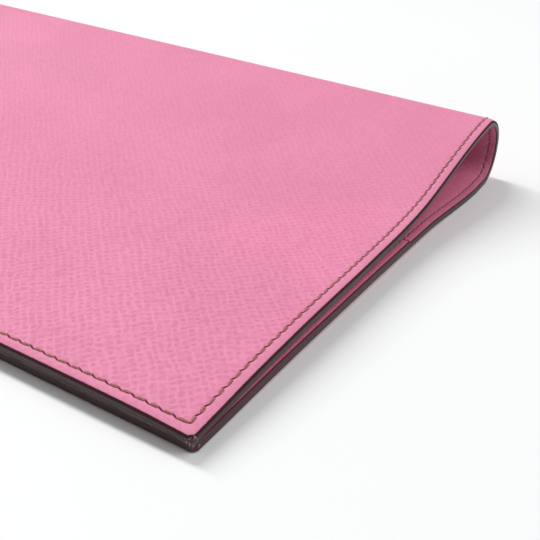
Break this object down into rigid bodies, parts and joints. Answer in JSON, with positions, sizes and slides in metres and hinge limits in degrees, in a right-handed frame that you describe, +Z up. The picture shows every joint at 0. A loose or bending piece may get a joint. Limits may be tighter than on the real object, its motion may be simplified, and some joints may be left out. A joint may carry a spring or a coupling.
{
  "type": "passport cover",
  "caption": "Bifold passport cover in stitched grained leather with painted edges, closed over a soft round fold, with a sleeve inside each cover.",
  "frame": {"origin": "middle of the closed cover's footprint, on the surface it lies on", "axes": "+X from the opening side to the fold, +Y along the fold, +Z up from the back cover to the front cover"},
  "size_m": [0.1056, 0.142, 0.0138],
  "materials": {
    "outer_leather": "fine cross-grained embossed calf, satin",
    "lining_leather": "smooth lining leather, matt",
    "edge_paint": "burnished painted edge, half gloss",
    "thread": "waxed twisted linen thread",
    "interlining": "plain bonded leather fibre, matt"
  },
  "bodies": {
    "back_cover": {"back_outer_leather": "outer_leather", "back_interlining": "interlining", "back_lining": "lining_leather", "back_sleeve": "lining_leather", "back_edge_coat": "edge_paint", "back_sleeve_edge_coat": "edge_paint", "back_seam_outside": "thread", "back_seam_inside": "thread"},
    "spine_strip_1": {"spine_1_outer_leather": "outer_leather", "spine_1_lining": "lining_leather", "spine_1_edge_coat_near": "edge_paint", "spine_1_edge_coat_far": "edge_paint", "spine_1_seam_near": "thread", "spine_1_seam_far": "thread"},
    "spine_strip_2": {"spine_2_outer_leather": "outer_leather", "spine_2_lining": "lining_leather", "spine_2_edge_coat_near": "edge_paint", "spine_2_edge_coat_far": "edge_paint", "spine_2_seam_near": "thread", "spine_2_seam_far": "thread"},
    "spine_strip_3": {"spine_3_outer_leather": "outer_leather", "spine_3_lining": "lining_leather", "spine_3_edge_coat_near": "edge_paint", "spine_3_edge_coat_far": "edge_paint", "spine_3_seam_near": "thread", "spine_3_seam_far": "thread"},
    "spine_strip_4": {"spine_4_outer_leather": "outer_leather", "spine_4_lining": "lining_leather", "spine_4_edge_coat_near": "edge_paint", "spine_4_edge_coat_far": "edge_paint", "spine_4_seam_near": "thread", "spine_4_seam_far": "thread"},
    "spine_strip_5": {"spine_5_outer_leather": "outer_leather", "spine_5_lining": "lining_leather", "spine_5_edge_coat_near": "edge_paint", "spine_5_edge_coat_far": "edge_paint", "spine_5_seam_near": "thread", "spine_5_seam_far": "thread"},
    "flex_strip": {"flex_outer_leather": "outer_leather", "flex_lining": "lining_leather", "flex_edge_coat_near": "edge_paint", "flex_edge_coat_far": "edge_paint", "flex_seam_near": "thread", "flex_seam_far": "thread"},
    "front_cover": {"front_outer_leather": "outer_leather", "front_interlining": "interlining", "front_lining": "lining_leather", "front_sleeve": "lining_leather", "front_edge_coat": "edge_paint", "front_sleeve_edge_coat": "edge_paint", "front_seam_outside": "thread", "front_seam_inside": "thread"}
  },
  "joints": [
    {"name": "fold_1", "type": "hinge", "parent": "back_cover", "child": "spine_strip_1", "pos_m": [0.04869, 0, 0.00073], "axis": [0, 1, 0], "range_deg": [0, 40]},
    {"name": "fold_2", "type": "hinge", "parent": "spine_strip_1", "child": "spine_strip_2", "pos_m": [0.05126, 0, 0.00288], "axis": [0, 1, 0], "range_deg": [0, 35]},
    {"name": "fold_3", "type": "hinge", "parent": "spine_strip_2", "child": "spine_strip_3", "pos_m": [0.05213, 0, 0.00612], "axis": [0, 1, 0], "range_deg": [0, 25]},
    {"name": "fold_4", "type": "hinge", "parent": "spine_strip_3", "child": "spine_strip_4", "pos_m": [0.05154, 0, 0.00942], "axis": [0, 1, 0], "range_deg": [0, 30]},
    {"name": "fold_5", "type": "hinge", "parent": "spine_strip_4", "child": "spine_strip_5", "pos_m": [0.04939, 0, 0.01199], "axis": [0, 1, 0], "range_deg": [0, 30]},
    {"name": "fold_6", "type": "hinge", "parent": "spine_strip_5", "child": "flex_strip", "pos_m": [0.04624, 0, 0.01313], "axis": [0, 1, 0], "range_deg": [0, 31]},
    {"name": "front_flex", "type": "hinge", "parent": "flex_strip", "child": "front_cover", "pos_m": [0.01031, 0, 0.00615], "axis": [0, -1, 0], "range_deg": [0, 8.03]}
  ],
  "couplings": [
    {"joint": "front_flex", "follows": "fold_6", "ratio": 0.25897}
  ]
}
